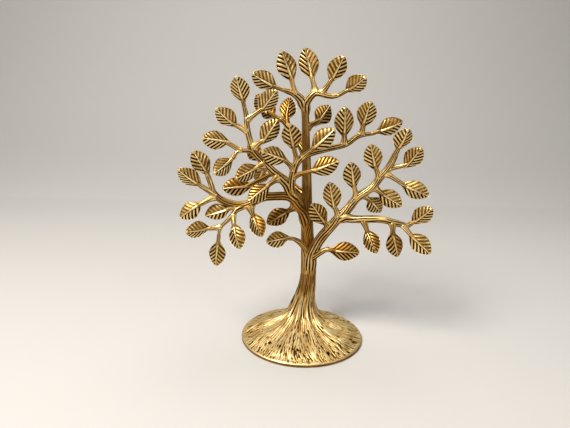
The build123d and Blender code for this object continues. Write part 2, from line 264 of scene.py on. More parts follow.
def cubic_course(points, first=None, last=None):
    """A cubic spline by chord length through points, as COURSE_STEPS small steps to a span.

    first and last are the slopes at its ends, if they are given.
    """
    p = np.array(points, float)
    t = distances(p)
    n = len(p)

    def end_slope(a, b, c, ta, tb, tc):
        one = (b - a) / (tb - ta)
        two = (c - b) / (tc - tb)
        return one - (two - one) / (tc - ta) * (tb - ta)

    h = np.diff(t)
    a = np.zeros((n, n))
    rhs = np.zeros(p.shape)
    a[0, 0] = a[-1, -1] = 1
    rhs[0] = first if first else end_slope(p[0], p[1], p[2], t[0], t[1], t[2])
    rhs[-1] = last if last else end_slope(p[-1], p[-2], p[-3], t[-1], t[-2], t[-3])
    for i in range(1, n - 1):
        a[i, i - 1] = 1 / h[i - 1]
        a[i, i] = 2 / h[i - 1] + 2 / h[i]
        a[i, i + 1] = 1 / h[i]
        rhs[i] = 3 * ((p[i] - p[i - 1]) / h[i - 1] ** 2 + (p[i + 1] - p[i]) / h[i] ** 2)
    m = np.linalg.solve(a, rhs)
    start, leave, end, arrive = hermite(np.linspace(0, 1, COURSE_STEPS + 1)[:-1, None])
    fine = []
    for i in range(n - 1):
        fine.append(start * p[i] + leave * h[i] * m[i] + end * p[i + 1] + arrive * h[i] * m[i + 1])
    fine.append(p[-1:])
    return np.concatenate(fine)


def spaced(course, count):
    """Points at even spacing along a course, with their distances from its start."""
    run = distances(course)
    at = np.linspace(0, run[-1], count)
    return np.stack([np.interp(at, run, course[:, k]) for k in range(course.shape[1])], axis=1), at


def place(course, share):
    """The point and the direction at a share of a course."""
    steps = 400
    points, _ = spaced(course, steps + 1)
    k = min(int(round(share * steps)), steps)
    return points[k], unit(points[min(k + 1, steps)] - points[max(k - 1, 0)])


# ------------------------------------------------------------
# Meshes

# Painted shade, added to the tone: near the trunk inside the crown, behind the crown, and low round
# the trunk. Each reach is a distance to the side, and each pair is the two heights, or the two
# depths to the back, between which the painted shade grows from nothing to full, in mm.
CROWN_REACH = 26.0
CROWN_FOOT = (55, 80)
CROWN_TOP = (158, 125)
CROWN_FRONT = (-22, -2)
BEHIND = (0, 14)
BEHIND_FOOT = (55, 75)
LOW_REACH = 60.0
LOW_TOP = (90, 60)
LOW_FOOT = (38, 48)
MOST_TONE = 1.3


def painted_crown_shade(places):
    """Painted shade, as extra tone inside the crown, behind it and under it."""
    x, y, z = places[:, 0], places[:, 1], places[:, 2]
    inside = np.exp(-(x / CROWN_REACH) ** 2) * smooth(*CROWN_FOOT, z) * smooth(*CROWN_TOP, z)
    inside = inside * smooth(*CROWN_FRONT, y)
    behind = smooth(*BEHIND, y) * smooth(*BEHIND_FOOT, z)
    low = smooth(*LOW_TOP, z) * smooth(*LOW_FOOT, z) * np.exp(-(x / LOW_REACH) ** 2)
    return 0.45 * inside + 0.40 * behind + 0.35 * low


def mesh_object(name, parts, material):
    """One mesh object from parts: places in mm, faces, and at each place the patina and the tone.

    Patina runs from 0 on polished metal to 1 in a blackened groove.
    """
    places, faces, patina, tone = [], [], [], []
    base = 0
    for part_places, part_faces, part_patina, part_tone in parts:
        places.append(part_places)
        patina.append(np.clip(part_patina, 0, 1))
        # The tone gets painted shade inside, behind and low in the crown.
        tone.append(np.clip(part_tone + painted_crown_shade(part_places), 0, MOST_TONE))
        faces.extend([tuple(int(corner) + base for corner in face) for face in part_faces])
        base += len(part_places)
    mesh = bpy.data.meshes.new(name)
    mesh.from_pydata((np.concatenate(places) * MM).tolist(), [], faces)
    mesh.polygons.foreach_set("use_smooth", [True] * len(mesh.polygons))
    for label, values in (("patina", patina), ("tone", tone)):
        layer = mesh.attributes.new(label, "FLOAT", "POINT")
        layer.data.foreach_set("value", np.concatenate(values).astype(np.float32))
    mesh.materials.append(material)
    mesh.update()
    piece = bpy.data.objects.new(name, mesh)
    bpy.context.collection.objects.link(piece)
    return piece


def carry(piece, node):
    """A detailed piece stands for its CAD node and rides on the one body."""
    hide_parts(node)
    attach(piece, "root")


def tube_faces(rings, sides):
    """Faces of a closed tube with both ends filled."""
    i = np.arange(rings - 1)[:, None] * sides
    j = np.arange(sides)[None, :]
    k = (j + 1) % sides
    quads = np.stack([i + j, i + k, i + sides + k, i + sides + j], axis=-1).reshape(-1, 4)
    faces = [tuple(q) for q in quads]
    faces.append(tuple(range(sides - 1, -1, -1)))
    faces.append(tuple(range((rings - 1) * sides, rings * sides)))
    return faces


WEB_BEHIND = 0.3


def sweep(points, radii, sides, relief, tone, web=None):
    """A tube along points. relief gives the outward displacement in mm and the patina.

    web is a direction and, at each point, how far the tube spreads that way. It spreads by
    WEB_BEHIND of that the other way.
    """
    tangent = unit(np.gradient(points, axis=0))
    front = unit(np.array([0.0, -1.0, 0.0]) + tangent * tangent[:, 1:2])
    across = np.cross(tangent, front)
    angle = np.linspace(0, 2 * pi, sides, endpoint=False)[None, :]
    run = distances(points)
    cosine, sine = np.cos(angle)[..., None], np.sin(angle)[..., None]
    out = front[:, None, :] * cosine + across[:, None, :] * sine
    lift, patina = relief(run[:, None], angle, radii[:, None], out[..., 2])
    if web is not None:
        direction, spread = web
        toward = out @ direction
        lift = lift + spread[:, None] * toward ** 2 * np.where(toward > 0, 1.0, WEB_BEHIND)
    places = points[:, None, :] + out * (radii[:, None] + lift)[..., None]
    patina = np.broadcast_to(patina, places.shape[:2])
    return places.reshape(-1, 3), tube_faces(len(points), sides), patina.reshape(-1), tone


def rounded_tip(points, radii, tip):
    """The points and radii of a branch, with a rounded end of radius tip added."""
    steps = np.array([0.3, 0.55, 0.78, 0.94])
    direction = unit(points[-1] - points[-3])
    points = np.concatenate([points, points[-1] + direction * (steps * tip)[:, None]])
    return points, np.concatenate([radii, tip * np.sqrt(1 - steps ** 2)])


# ------------------------------------------------------------
# Bark

STEM_GROOVES = 28
STEM_GROOVE_DEPTH = 0.34
STEM_WANDER = 2.4


def stem_grain(x, y, z):
    """Relief in mm and patina of the fine upright lines round the stump and the trunk's foot."""
    turn = np.arctan2(y, x)
    drift = noise(np.cos(turn) * 1.5, np.sin(turn) * 1.5, z * 0.030)
    phase = STEM_GROOVES / 2 * turn + STEM_WANDER * drift
    phase = phase + 0.8 * noise(x * 0.8, y * 0.8, z * 0.09)
    broken = smooth(-0.75, 0.05, noise(x * 0.9, y * 0.9, z * 0.06 + 7))
    line = (1 - np.abs(np.sin(phase))) * broken
    fine = noise(x * 3.2, y * 3.2, z * 0.07)
    height = 0.14 - STEM_GROOVE_DEPTH * line + 0.08 * fine
    return height, 0.20 + 0.75 * smooth(0.15, 0.6, line) - 0.26 * fine


BARK_TWIST = 0.012
BARK_WANDER = 0.36
CORD_ROUNDNESS = 0.6


def bark(seed, strands, depth, groove_dark, top_calm=0.05):
    """Relief of a branch: long cords side by side with sharp dark grooves between.

    depth is the grooves' depth in mm, groove_dark their patina, and top_calm how far they are worn
    away where the branch faces up.
    """
    def relief(run, angle, radius, up):
        wander = noise(run * 0.07 + seed, 0.0, 3.1)
        wander = wander + 0.5 * noise(run * 0.16, seed, np.cos(angle) * 1.3)
        phase = strands / 2 * (angle + BARK_TWIST * run + BARK_WANDER * wander)
        strand = np.abs(np.sin(phase)) ** CORD_ROUNDNESS
        x, y = np.cos(angle) * radius, np.sin(angle) * radius
        worn = 1 - top_calm * smooth(0.1, 0.75, up)
        merge = 0.15 + 0.85 * smooth(-0.80, 0.0, noise(x * 0.7 + seed, y * 0.7, run * 0.10))
        groove = (1 - strand) * worn * merge
        fine = noise(x * 2.4, y * 2.4, run * 0.3 + seed)
        height = depth * (0.35 - groove) + 0.05 * depth * fine
        patina = groove_dark * smooth(0.08, 0.42, groove) + 0.28 - 0.26 * strand ** 4 * worn
        # Painted shade: the patina is raised where the branch faces down.
        patina = patina - 0.16 * fine + 0.26 * smooth(0.1, -0.8, up)
        return height, np.clip(patina, 0, 1)
    return relief


# ------------------------------------------------------------
# Boughs

BOUGH_STEP = 0.55
CORD_PITCH = 1.45
CORD_DEPTH = 0.20
CORD_DEPTH_GAIN = 0.12
FEWEST_CORDS = 6
SIDES_PER_CORD = 7

# A bough's course is drawn again, through the points of its tail and one in SAMPLE_STRIDE of the
# samples along it, up to TIP_CLEAR short of its tip.
COURSE_SAMPLES = 400
SAMPLE_STRIDE = 24
TIP_CLEAR = 1.5

# The tail is sunk in the carrier. In radii of the carrier: its length, how far behind and beside
# the root its points lie, and how far past the root the samples start.
TAIL_LENGTH = 3.9
TAIL_POINTS = ((3.2, 0.10), (1.6, 0.42))
TAIL_CLEAR = 1.7

# The tail thins to this share of the bough's radius, and has no cords and an even patina.
TAIL_THIN = 0.30
TAIL_PATINA = 0.3

# The collar round the bough's root and the web beside it stand out by these shares of its radius
# there, and the tip narrows by a share over its last millimetres.
COLLAR = 0.25
COLLAR_REACH = 3.0
BOUGH_WEB = 0.85
TIP_TAPER = 0.2
TIP_TAPER_LENGTH = 4.0


def bough_mesh(name, course, along, root, tip, carrier_radius, seed, tone, carrier_tone):
    """A bough. It leaves along its carrier, with a web between the two, and has a rounded tip.

    along is the direction of the carrier there. tone is the bough's, and carrier_tone that of the
    metal round the joint.
    """
    whole, at = spaced(course, COURSE_SAMPLES)
    past_tail = at > TAIL_CLEAR * carrier_radius
    clear = whole[past_tail & (at < at[-1] - TIP_CLEAR)][::SAMPLE_STRIDE]
    sense = 1.0 if np.dot(along, clear[0] - whole[0]) >= 0 else -1.0
    aside = unit(clear[0] - whole[0] - along * np.dot(along, clear[0] - whole[0]))
    back = along * sense * carrier_radius
    tail = []
    for behind, beside in TAIL_POINTS:
        tail.append(whole[0] - behind * back + beside * carrier_radius * aside)
    bent = cubic_course(np.concatenate([tail, clear, whole[-1:]]))
    length = distances(bent)[-1]
    points, at = spaced(bent, int(length / BOUGH_STEP))

    tail_length = TAIL_LENGTH * carrier_radius
    out = at - tail_length
    swell = BOUGH_SWELL.get(name, USUAL_SWELL)
    radii = swell * (tip + (root - tip) * (1 - np.clip(out / (length - tail_length), 0, 1)))
    radii = radii + COLLAR * root * np.exp(-np.clip(out, 0, None) / COLLAR_REACH)
    emerged = smooth(-tail_length, -0.5 * carrier_radius, out)
    radii = radii * (TAIL_THIN + (1 - TAIL_THIN) * emerged)
    radii = radii * (1 - TIP_TAPER * smooth(length - TIP_TAPER_LENGTH, length, at))
    web_reach = 0.8 + 0.5 * carrier_radius
    spread = BOUGH_WEB * root * np.exp(-np.abs(out + 0.2 * carrier_radius) / web_reach)
    tones = tone + (carrier_tone - tone) * smooth(0.1 * carrier_radius, -0.8 * tail_length, out)

    points, radii = rounded_tip(points, radii, (1 - TIP_TAPER) * swell * tip)
    added = len(points) - len(spread)
    spread = np.concatenate([spread, np.zeros(added)])
    tones = np.concatenate([tones, np.full(added, tone)])
    strands = max(FEWEST_CORDS, 2 * round(pi * swell * (root + tip) / 2 / CORD_PITCH))
    depth = CORD_DEPTH_GAIN * root + CORD_DEPTH
    cords = bark(seed, strands, depth, BOUGH_LINES.get(name, USUAL_LINES))

    def relief(run, angle, radius, up):
        height, patina = cords(run, angle, radius, up)
        grown = smooth(0.1 * tail_length, 0.8 * tail_length, run)
        return height * grown, TAIL_PATINA + (patina - TAIL_PATINA) * grown

    sides = SIDES_PER_CORD * strands
    part = sweep(points, radii, sides, relief, np.repeat(tones, sides), (along * sense, spread))
    return mesh_object(name + "_bark", [part], tree_brass)


TRUNK_RINGS = 260
TRUNK_SIDES = 132
TRUNK_CORDS = 22
TRUNK_CORD_DEPTH = 0.26
TRUNK_SEED = 5.3

# Heights above the trunk's foot between which the stump's lines turn into bark.
BARK_FROM = (12, 34)


def trunk_mesh(course, foot):
    """The trunk: the stump's upright lines at its foot, and finer bark than a bough's above."""
    points, at = spaced(course, TRUNK_RINGS)
    radii = TRUNK_TIP + (TRUNK_FOOT - TRUNK_TIP) * (1 - at / at[-1]) ** TRUNK_TAPER
    points, radii = rounded_tip(points, radii, TRUNK_TIP)
    cords = bark(TRUNK_SEED, TRUNK_CORDS, TRUNK_CORD_DEPTH, TRUNK_LINES)

    def relief(run, angle, radius, up):
        height, patina = cords(run, angle, radius, up)
        low, low_patina = stem_grain(np.sin(angle) * radius, -np.cos(angle) * radius, run + foot)
        grown = smooth(*BARK_FROM, run)
        return low + (height - low) * grown, low_patina + (patina - low_patina) * grown

    part = sweep(points, radii, TRUNK_SIDES, relief, TRUNK_TONE_AND_SHADE)
    return mesh_object("trunk_bark", [part], tree_brass)


# ------------------------------------------------------------
# Leaves

VEINS = 7
ROWS_PER_VEIN = 10
ROWS = VEINS * ROWS_PER_VEIN + 1
COLUMNS = 27
COLUMN_CROWDING = 1.25

# Relief of the blade in mm: the side veins, the raised midrib, the channel beside it, the bulge of
# each half between the rib and the margin, and the drop at the margin.
VEIN_DEPTH = 0.68
RIB_WIDTH = 1.05
RIB_HEIGHT = 0.62
CHANNEL_DEPTH = 0.20
BLADE_BULGE = 0.35
MARGIN_DROP = 0.18

# The blade against the solid's: a little slimmer, and longer at the foot.
LEAF_SLIMNESS = 0.94
LEAF_STRETCH = 1.10

# The outline of the blade: the share of its length where it is widest, and how fast it widens to
# there and narrows from there.
WIDEST = 0.544
FOOT_SHARPNESS = 1.25
TIP_SHARPNESS = 0.70


def blade_width(u):
    """Half width of the full blade at a share of its length: ovate, with a blunt tip."""
    u = np.clip(u, 0, 1)
    arc = np.clip(np.sin(pi * u ** LEAF_FULLNESS), 0, 1)
    outline = np.where(u < WIDEST, arc ** FOOT_SHARPNESS, arc ** TIP_SHARPNESS)
    blunt = LEAF_TIP_WIDTH / 2 * u * (1 - u) ** 0.3
    return np.where(u < 1, np.maximum(LEAF_WIDTH / 2 * outline, blunt), 0)


def vein_reach(starts, slope, bend):
    """How far each vein runs out from the midrib before it meets the margin."""
    reach = np.linspace(0, LEAF_WIDTH * 0.6, 400)[None, :]
    x = starts[:, None] + slope * reach - bend * reach ** 2
    inside = (blade_width(x / LEAF_LENGTH) >= reach) & (x <= LEAF_LENGTH)
    last = np.where(inside.any(axis=1), inside.shape[1] - 1 - inside[:, ::-1].argmax(axis=1), 0)
    return np.maximum(reach[0, last], 0.12)


def blade_template(size, fold, arch, strong, veins, seed):
    """One blade in its own axes, in mm: x to the tip, y across, z towards the viewer.

    Its rows follow the veins, so each groove runs clean from the midrib to the margin. strong is
    how much the grooves stand out on the two halves, and veins is their slope, bend and spacing.
    It gives the points of the front and of the back, the patina of each, and the front's tone.
    """
    # q counts the veins from foot to tip, and v runs from -1 to 1 across, closer at the midrib.
    q = np.linspace(0, VEINS, ROWS)[:, None]
    slope, bend, spacing = veins
    starts = LEAF_LENGTH * (q[:, 0] / VEINS) ** spacing
    across = np.linspace(-1, 1, COLUMNS)[None, :]
    v = np.sign(across) * np.abs(across) ** COLUMN_CROWDING
    uneven = 0.84 + 0.42 * noise(0.9 * q + seed, 2.0 * np.sign(v) + 0.8 * v, 5.5)
    strength = np.clip(np.where(v < 0, strong[0], strong[1]) * uneven, 0, 1)
    lobe = np.abs(np.sin(pi * q)) ** 0.7 + 0 * v
    margin = vein_reach(starts, slope, bend)[:, None] * (0.94 + 0.06 * lobe)
    reach = np.abs(v) * margin
    x = np.minimum(starts[:, None] + slope * reach - bend * reach ** 2, LEAF_LENGTH)
    u = x / LEAF_LENGTH

    rib_width = RIB_WIDTH * (1 - 0.75 * u)
    rib = np.sqrt(np.clip(1 - (reach / rib_width) ** 2, 0, 1))
    away = smooth(0.75, 1.6, reach / rib_width)
    channel = np.exp(-((reach - 1.25 * rib_width) / (0.38 * rib_width)) ** 2)
    fade = smooth(0.0, 0.06, u) * smooth(1.0, 0.94, u)
    depth = VEIN_DEPTH * (0.25 + 0.75 * strength) * away * fade
    bulge = BLADE_BULGE * np.sin(pi * np.abs(v)) * (1 - rib)
    folded = arch * np.sin(pi * u) - fold * reach * size
    front = folded + depth * (lobe - 0.85) + RIB_HEIGHT * rib * (1 - 0.5 * u)
    front = front - CHANNEL_DEPTH * channel * fade + bulge - MARGIN_DROP * np.abs(v) ** 8
    back = folded - LEAF_THICKNESS * (1 - 0.35 * np.abs(v) ** 3)
    back = back + 0.22 * (lobe - 0.5) * away * fade - 0.30 * rib

    shade = smooth(0.98, 0.52, lobe) * away * fade * strength
    shade = np.maximum(shade, 0.80 * channel * fade * (0.4 + 0.6 * strength))
    # The plainer half gets painted shade: more patina on its flats, and more tone below.
    painted_plain_half_shade = (1 - strength) * (1 - rib) * (1 - 0.6 * smooth(0.80, 1.0, lobe))
    patina = shade + 0.34 * painted_plain_half_shade + 0.16 * away * smooth(1.0, 0.8, lobe) - 0.10 * rib
    back_patina = 0.25 + 0.6 * smooth(0.8, 0.3, lobe) * away * fade
    tone = 0.04 + 0.62 * (1 - strength) * (1 - rib)

    x = LEAF_LENGTH - (LEAF_LENGTH - x) * LEAF_STRETCH
    y = np.sign(v) * reach * LEAF_SLIMNESS
    front_points = np.stack([x * size, y * size, front], axis=-1).reshape(-1, 3)
    back_points = np.stack([x * size, y * size, back], axis=-1).reshape(-1, 3)
    return front_points, back_points, patina.reshape(-1), back_patina.reshape(-1), tone.reshape(-1)


def blade_faces():
    """Faces of the closed blade: its front, its back and the strip round its edge."""
    grid = np.arange(ROWS * COLUMNS).reshape(ROWS, COLUMNS)
    off = ROWS * COLUMNS
    corners = [grid[:-1, :-1], grid[1:, :-1], grid[1:, 1:], grid[:-1, 1:]]
    front = np.stack(corners, axis=-1).reshape(-1, 4)
    faces = [tuple(q[::-1]) for q in front]
    faces += [tuple(q + off) for q in front]
    ring = list(grid[0, :]) + list(grid[1:, -1]) + list(grid[-1, -2::-1]) + list(grid[-2:0:-1, 0])
    for a, b in zip(ring, ring[1:] + ring[:1]):
        faces.append((a, b, b + off, a + off))
    return faces


BLADE_FACES = blade_faces()
BACK_TONE = 0.5
SPECKLE = 0.12

STALK_SIDES = 32
STALK_STATIONS = 40
STALK_CORDS = 8
STALK_CORD_DEPTH = 0.16
STALK_TOP_CALM = 0.6
STALK_RADIUS = 1.25
STALK_TONE = 0.36

# How deep a stalk starts in its bough in mm, how far it runs on under the blade, as a share of the
# blade's length, and how far its end lies under the blade's middle line in mm.
STALK_SUNK = 1.2
STALK_UNDER_BLADE = 0.30
STALK_BELOW = 0.35


def leaf_parts(root, along, bough_radius, end_radius, row, index, tone_and_shade, web):
    """The blade and the curved stalk of one leaf.

    web is 1 for a stalk that leaves the side of its bough with a web, and falls to 0 for one that
    carries on from the bough's end, at the radius that it ends with.
    """
    stalk_length, forward, stalk_heading, blade_heading, lean, roll, size = row
    a, b, c, r = radians(stalk_heading), radians(blade_heading), radians(lean), radians(roll)
    reach = np.array([cos(a) * stalk_length, -forward, sin(a) * stalk_length])
    blade = np.array([cos(b) * cos(c), -sin(c), sin(b) * cos(c)])
    upright = np.array([-sin(b), 0.0, cos(b)])
    side = upright * cos(r) + np.cross(blade, upright) * sin(r)
    face = np.cross(blade, side)
    if face[1] > 0:
        side, face = -side, -face
    foot = root + reach

    # The lower half of a blade has the stronger grooves, and no two leaves are quite alike.
    # The half with the weaker grooves is painted darker, as shade.
    vary = lattice(index * 7, index * 3, 11) - 0.5
    lower = np.clip(0.5 - 0.9 * side[2] + 0.6 * (lattice(index, 2, 7) - 0.5), 0, 1)
    weak = 0.05 + 0.36 * lattice(index * 5, index, 4)
    strong = (weak + (1 - weak) * (1 - lower), weak + (1 - weak) * lower)
    slope = 0.85 + 0.35 * lattice(index, 3, 9)
    bend = 0.02 + 0.03 * lattice(index, 8, 2)
    spacing = 0.96 + 0.16 * lattice(index, 6, 6)
    fold = LEAF_FOLD * (1.35 + 0.5 * vary)
    arch = LEAF_ARCH * (1 + 0.5 * vary)
    front, back, patina, back_patina, tone = blade_template(
        size, fold, arch, strong, (slope, bend, spacing), index)
    both = np.concatenate([front, back])
    places = foot + both[:, :1] * blade + both[:, 1:2] * side + both[:, 2:] * face
    patina = np.concatenate([patina, back_patina])
    tone = np.concatenate([tone, np.full(len(back), BACK_TONE)])
    speckle = noise(places[:, 0] * 0.9, places[:, 1] * 0.9, places[:, 2] * 0.9 + index)
    blade_part = (places, BLADE_FACES, patina + SPECKLE * speckle, tone + tone_and_shade)

    # The stalk curves from along its bough to along the blade, and ends under the midrib.
    sense = 1.0 if np.dot(along, reach) >= 0 else -1.0
    start = root - along * sense * STALK_SUNK
    pull = along * sense * np.linalg.norm(reach) * 0.75
    under = LEAF_LENGTH * size * STALK_UNDER_BLADE
    rise = LEAF_ARCH * sin(STALK_UNDER_BLADE * pi) - STALK_BELOW
    finish = foot + blade * under + face * rise
    push = blade * (under + stalk_length) * 0.9
    near, leave, far, arrive = hermite(np.linspace(0, 1, STALK_STATIONS)[:, None])
    points = near * start + leave * pull + far * finish + arrive * push
    run = distances(points)
    clear = run - bough_radius
    radii = STALK_RADIUS * web + end_radius * (1 - web)
    radii = radii + 0.35 * web * bough_radius * np.exp(-np.clip(clear, 0, None) / 1.7)
    thinning = 0.30 + 0.24 * (run[-1] - run)
    sunk = 0.55 * (0.15 + 0.85 * web) * smooth(1.2 * bough_radius, 0, run)
    radii = np.minimum(radii, thinning) * (1 - sunk)
    spread = web * (1.2 + 0.9 * bough_radius) * np.exp(-np.abs(clear - 0.2) / 2.1)
    worn = web * np.exp(-np.abs(clear - 0.5) / 2.2)
    cords = bark(index * 1.7, STALK_CORDS, STALK_CORD_DEPTH, STALK_LINES, STALK_TOP_CALM)

    def relief(run, angle, radius, up):
        height, patina = cords(run, angle, radius, up)
        return height, patina * (1 - 0.55 * worn[:, None])

    tones = np.repeat(STALK_TONE + tone_and_shade - 0.35 * worn, STALK_SIDES)
    return [blade_part, sweep(points, radii, STALK_SIDES, relief, tones, (along * sense, spread))]


# ------------------------------------------------------------
# The base

BASE_SIDES = 760
BASE_RINGS = 160
HOLLOW_RINGS = 16
HOLLOW_SHARES = (0.07, 0.80)
UNDERSIDE_PATINA = 0.75
RIM_SIDE_SHADE = 0.65
UNDERSIDE_TONE = 0.4

# Radii in mm at which the grain of the base has its nominal pitch. It blends from one to the next.
GRAIN_RADII = (4.5, 8.0, 14.0, 22.0, 32.0, 42.0)

# Pitch across the root ridges and length along them, in mm, of the grooves, of the short dashes
# and of the fine grain, and the pitch of the fine lines.
GROOVES = (1.25, 17.0)
DASHES = (0.95, 2.2)
FINE_GRAIN = (0.95, 5.0)
LINE_PITCH = 1.35

# Radii between which the base turns steep, and between which its worn outer zone starts, and the
# heights between which its bark turns into the upright lines of the stump.
STEEP_FROM = (17, 9)
OUTER_FROM = (22, 33)
STEM_FROM = (24, 34)

# Where the bark of the base is pitted, and where it is worn smooth: heading and radius of the
# middle of the patch, its reach, and how pitted (over 0) or smooth (under 0) it is.
PATCHES = [
    (231, 33, 8, 0.4), (262, 19, 7, 0.2), (205, 17, 9, -0.7), (300, 27, 8, 0.3), (338, 26, 8, 0.2),
    (75, 28, 12, 0.2), (150, 30, 9, 0.1)]


def root_wave(angle):
    """1 on each root ridge, -1 half way to the next, all round the base."""
    headings = np.array(ROOT_HEADINGS + [ROOT_HEADINGS[0] + 360], float)
    turn = (np.degrees(angle) - headings[0]) % 360 + headings[0]
    return np.cos(2 * pi * np.interp(turn, headings, np.arange(len(headings))))


def nearness(radius, middle, width):
    """1 at the middle radius, falling off to both sides by the ratio of the radii."""
    return np.exp(-((np.log(radius / middle)) / width) ** 2) + 1e-6


def streaks(angle, radius, run, pitch, stretch, seed):
    """Noise drawn out along the run, with about the same pitch round every radius."""
    total = weight = 0.0
    for middle in GRAIN_RADII:
        share = nearness(radius, middle, 0.22)
        k = 2 * middle / pitch
        drawn = noise(np.cos(angle) * k + seed, np.sin(angle) * k, run / stretch + middle)
        total = total + share * drawn
        weight = weight + share ** 2
    return total / np.sqrt(weight)


def fine_lines(angle, radius, run, pitch):
    """A wave across the run with about the same pitch round every radius."""
    total = weight = 0.0
    for middle in GRAIN_RADII:
        share = nearness(radius, middle, 0.16)
        k = middle * 0.25
        bend = noise(np.cos(angle) * k, np.sin(angle) * k, run * 0.07 + middle)
        total = total + share * np.sin(round(2 * pi * middle / pitch) * angle + 2.6 * bend)
        weight = weight + share
    return total / weight


def patchiness(x, y):
    """How pitted or smooth the patches make the base at x and y."""
    total = 0.0
    for heading, radius, size, weight in PATCHES:
        dx = x - radius * cos(radians(heading))
        dy = y - radius * sin(radians(heading))
        total = total + weight * np.exp(-(dx ** 2 + dy ** 2) / size ** 2)
    return total


def base_grain(angle, r, h, run, rim):
    """Relief in mm, patina and tone of the base's bark, and how steep the base is there.

    Each point has a heading, a radius, a height and its distance from the rim along the mound.
    """
    ca, sa = np.cos(angle), np.sin(angle)
    x, y = r * ca, r * sa
    flow = angle + 0.05 * noise(ca * 2.3, sa * 2.3, run * 0.09) + 0.16 * np.sin(run * 0.05)
    calm = smooth(rim - 0.1, rim - 1.2, r)
    steep = smooth(*STEEP_FROM, r)
    outer = smooth(*OUTER_FROM, r) * smooth(rim, rim - 2.5, r)
    rough = 0.62 + 0.40 * outer + patchiness(x, y) + 0.25 * noise(x * 0.12, y * 0.12, 4.0)
    rough = np.clip(rough, 0.10, 1.2)

    cord = streaks(flow, r, run, *GROOVES, 0.0)
    groove = smooth(0.26, 0.03, np.abs(cord + 0.1)) * (0.62 + 0.20 * steep - 0.30 * outer)
    dash = streaks(flow, r, run, *DASHES, 40.0)
    pit = smooth(0.14, 0.50, dash + 0.11 * outer) * rough * (1 - 0.6 * steep)
    fine = streaks(flow, r, run, *FINE_GRAIN, 80.0)
    lines = fine_lines(flow, r, run, LINE_PITCH) * (0.6 + 0.5 * noise(x * 0.2, y * 0.2, 9.0))
    lift = calm * (0.14 - 0.26 * groove - 0.30 * pit + 0.10 * fine + 0.10 * lines)
    dark = calm * (0.76 * groove + 0.80 * pit - 0.28 * fine - 0.30 * lines) + 0.12 + 0.12 * steep

    # Above the flare the bark turns into the upright lines of the stump.
    stem = smooth(*STEM_FROM, h)
    grain, grain_dark = stem_grain(x, y, h)
    lift = lift + (grain - lift) * stem
    # Painted shade on the rim's side, below the height of its top edge.
    dark = dark + (grain_dark - dark) * stem + 0.45 * smooth(BASE_EDGE, BASE_EDGE - 0.4, h)
    return lift, dark, 0.95 * stem + 0.35 * steep + 0 * angle, steep


def base_mesh(material):
    """The domed disc: root cords and bark on top, a plain rim, and the hollow underside."""
    low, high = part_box("base")
    rim = (high[0] - low[0]) / 2 / MM
    edge = [
        (rim, BASE_EDGE - 0.35, 0, 0, 0), (rim - 0.35, BASE_EDGE, 0, 0, 0),
        (rim - 2.0, 2.55, 0, 0, 0), (rim - 4.1, 3.4, 0, 0, 0.1)]
    points, run = spaced(cubic_course(edge + MOUND), BASE_RINGS)
    angle = np.linspace(0, 2 * pi, BASE_SIDES, endpoint=False)[None, :]
    ca, sa = np.cos(angle), np.sin(angle)
    r, h, middle_x, middle_y, ridge = (points[:, k:k + 1] for k in range(5))
    rise = np.gradient(points[:, 1])[:, None]
    lean = np.gradient(points[:, 0])[:, None]
    slope = np.sqrt(rise ** 2 + lean ** 2)
    out_r, out_z = rise / slope, -lean / slope

    lift, dark, tone, steep = base_grain(angle, r, h, run[:, None], rim)
    lift = lift + ridge * root_wave(angle) * (1 + 0.15 * steep)
    reach = r + lift * out_r
    top = np.stack([middle_x + reach * ca, middle_y + reach * sa, h + lift * out_z], axis=-1)

    # The underside: the rings of the foot, by inset from the rim and height, and then the hollow,
    # which lies a wall's thickness inside the mound.
    foot = ((0.12, BASE_EDGE - 0.8), (0.05, 0.4), (0.4, 0.0), (FOOT_WIDTH, 0.0))
    under = []
    for inset, height in foot:
        ring = [(rim - inset) * ca[0], (rim - inset) * sa[0], height + 0 * ca[0]]
        under.append(np.stack(ring, axis=-1))
    shares = np.linspace(*HOLLOW_SHARES, HOLLOW_RINGS)
    inner = np.interp(shares, np.linspace(0, 1, BASE_RINGS), np.arange(BASE_RINGS)).astype(int)
    for k in inner:
        x = middle_x[k] + (r[k] - WALL * out_r[k]) * ca[0]
        y = middle_y[k] + (r[k] - WALL * out_r[k]) * sa[0]
        under.append(np.stack([x, y, h[k] - WALL * out_z[k] + 0 * x], axis=-1))
    under = np.array(under[::-1])
    shade = np.full(under.shape[:2], UNDERSIDE_PATINA)
    # The rim's outer side and foot get painted shade.
    shade[-3:] = RIM_SIDE_SHADE

    rings = np.concatenate([under, top])
    patina = np.clip(np.concatenate([shade, dark]), 0, 1)
    tone = np.concatenate([np.full(under.shape[:2], UNDERSIDE_TONE), tone])
    faces = tube_faces(len(rings), BASE_SIDES)
    part = (rings.reshape(-1, 3), faces, patina.reshape(-1), tone.reshape(-1))
    return mesh_object("root_base", [part], material)


# ------------------------------------------------------------
# Materials

# Colours from polished to blackened, with duller ones for the worn metal of the base. Where metal
# has aged, AGED multiplies them.
PALE = (1.0, 0.85, 0.50)
GOLD = (0.80, 0.51, 0.13)
WORN_PALE = (0.95, 0.80, 0.47)
WORN_GOLD = (0.74, 0.49, 0.15)
OCHRE = (0.34, 0.185, 0.045)
UMBER = (0.012, 0.007, 0.003)
AGED = (0.43, 0.295, 0.115)

# Each colour with the patina that it stands at.
TREE_STOPS = [(0.0, PALE), (0.28, GOLD), (0.55, OCHRE), (0.9, UMBER)]
BASE_STOPS = [(0.0, WORN_PALE), (0.35, WORN_GOLD), (0.62, OCHRE), (0.95, UMBER)]

# Clouds in the patina and the tone, the roughness that full patina adds, and the grain's height.
BLOTCH_SCALE = 140.0
SPECK_SCALE = 1100.0
CLOUDINESS = 0.35
AGING = 0.72
AGING_CLOUDINESS = 0.25
PATINA_ROUGHNESS = 0.40
GRAIN_HEIGHT = 0.00015


